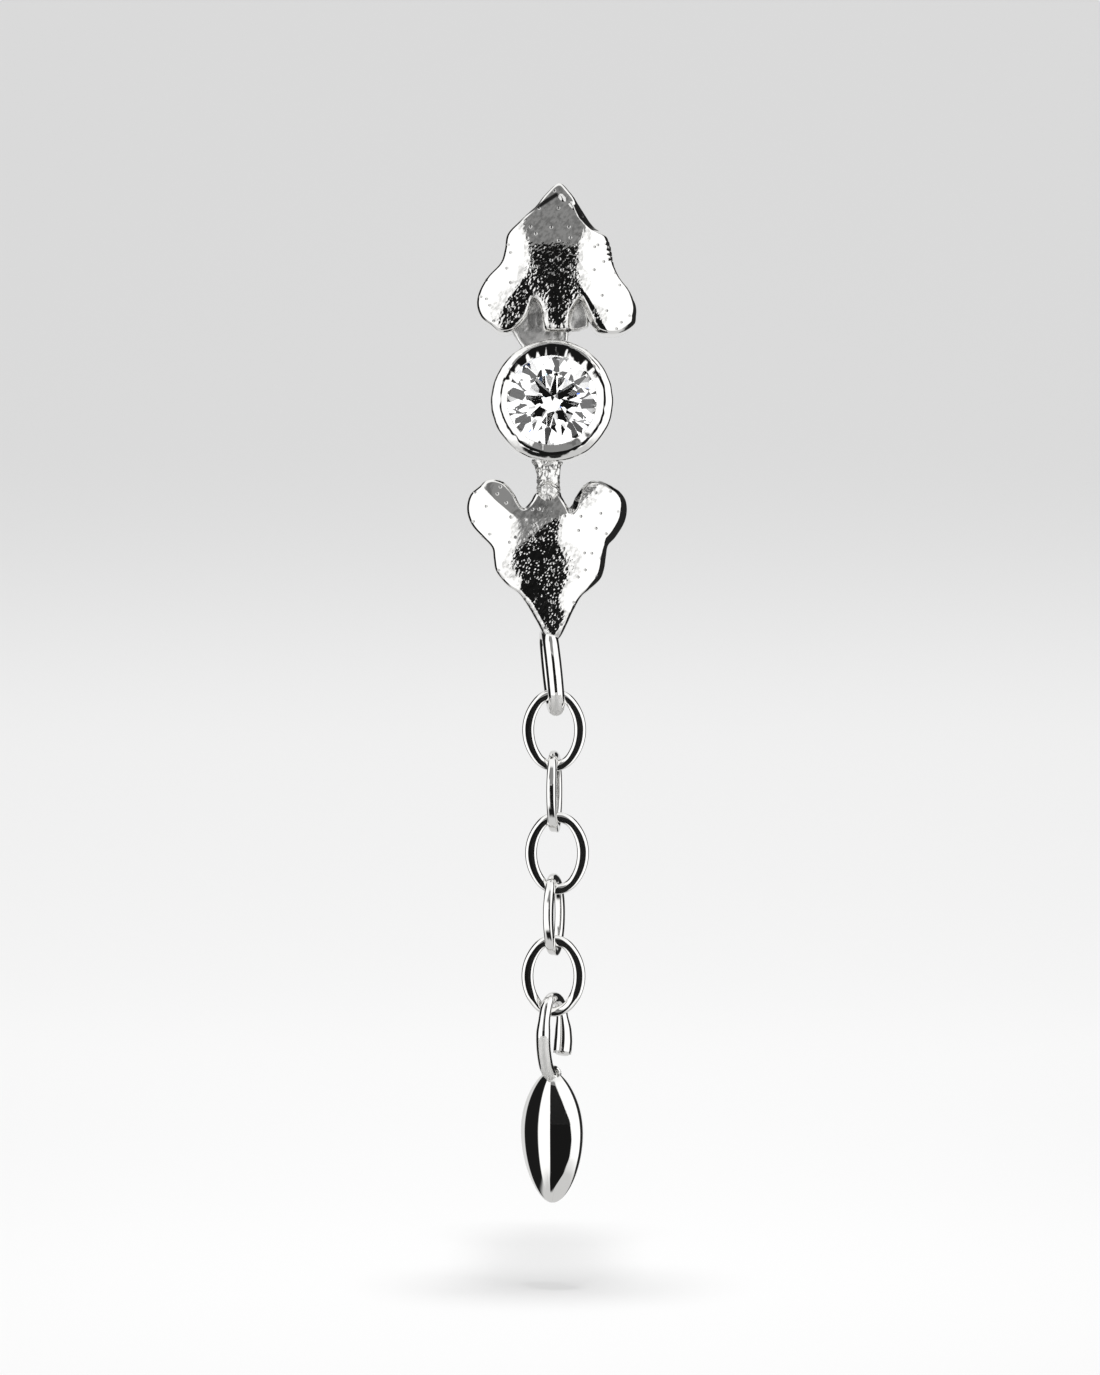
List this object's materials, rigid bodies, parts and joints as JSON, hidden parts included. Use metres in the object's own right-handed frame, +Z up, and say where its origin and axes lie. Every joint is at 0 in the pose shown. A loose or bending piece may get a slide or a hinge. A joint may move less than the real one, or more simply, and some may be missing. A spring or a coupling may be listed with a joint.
{
  "type": "flat back stud earring",
  "caption": "Silver stud earring: a stone cup between mirrored cast leaves, a link chain with a hooked marquise drop, and a flat back post.",
  "frame": {"origin": "on the post's axis, where the flat back of the stone's cup rests on the ear", "axes": "+Z up along the hanging chain and the leaves, +Y from the ornament through the ear to the flat disc, +X to the right as the ornament is seen from the front"},
  "size_m": [0.0048, 0.0073, 0.0285],
  "materials": {
    "cast_silver": "polished cast silver with fine pits and a bright worn rim",
    "clear_stone": "clear faceted stone",
    "post_silver": "smooth drawn and turned silver",
    "chain_silver": "polished silver wire",
    "drop_silver": "mirror polished silver"
  },
  "bodies": {
    "stud": {"leaf_front": "cast_silver", "round_stone": "clear_stone", "flat_back_post": "post_silver", "chain_link_1": "chain_silver", "chain_link_2": "chain_silver", "chain_link_3": "chain_silver", "chain_link_4": "chain_silver", "chain_link_5": "chain_silver"},
    "drop": {"marquise_drop": "drop_silver"}
  },
  "joints": [
    {"name": "drop_swing", "type": "hinge", "parent": "stud", "child": "drop", "pos_m": [0.00004, -0.0008, -0.01703], "axis": [1, 0, 0], "range_deg": [-60, 60]}
  ]
}
